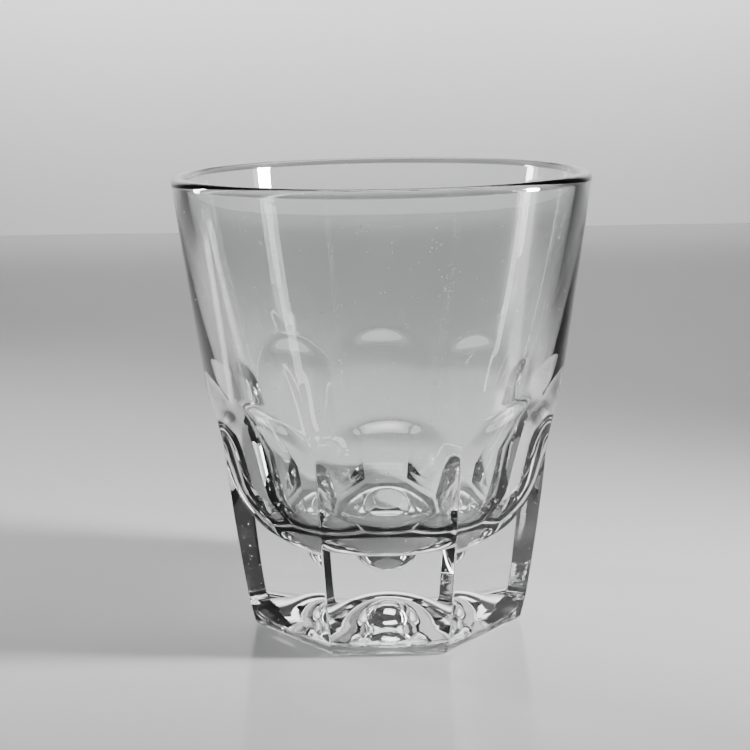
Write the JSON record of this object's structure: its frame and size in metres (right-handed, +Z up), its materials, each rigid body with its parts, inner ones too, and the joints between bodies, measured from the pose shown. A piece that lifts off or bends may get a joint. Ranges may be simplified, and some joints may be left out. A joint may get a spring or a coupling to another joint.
{
  "type": "shot glass",
  "caption": "Small drinking glass with a round flared cup on a heavy solid foot, whose flat panels scoop out into arches at half height.",
  "frame": {"origin": "middle of the foot, on the surface that the glass stands on", "axes": "+Z up along the axis of the cup, towards the rim; one flat panel faces -Y"},
  "size_m": [0.052, 0.052, 0.0575],
  "materials": {
    "clear_glass": "clear, colourless, fire-polished pressed glass with a smooth gloss surface"
  },
  "bodies": {
    "root": {"glass_body": "clear_glass"}
  },
  "joints": []
}
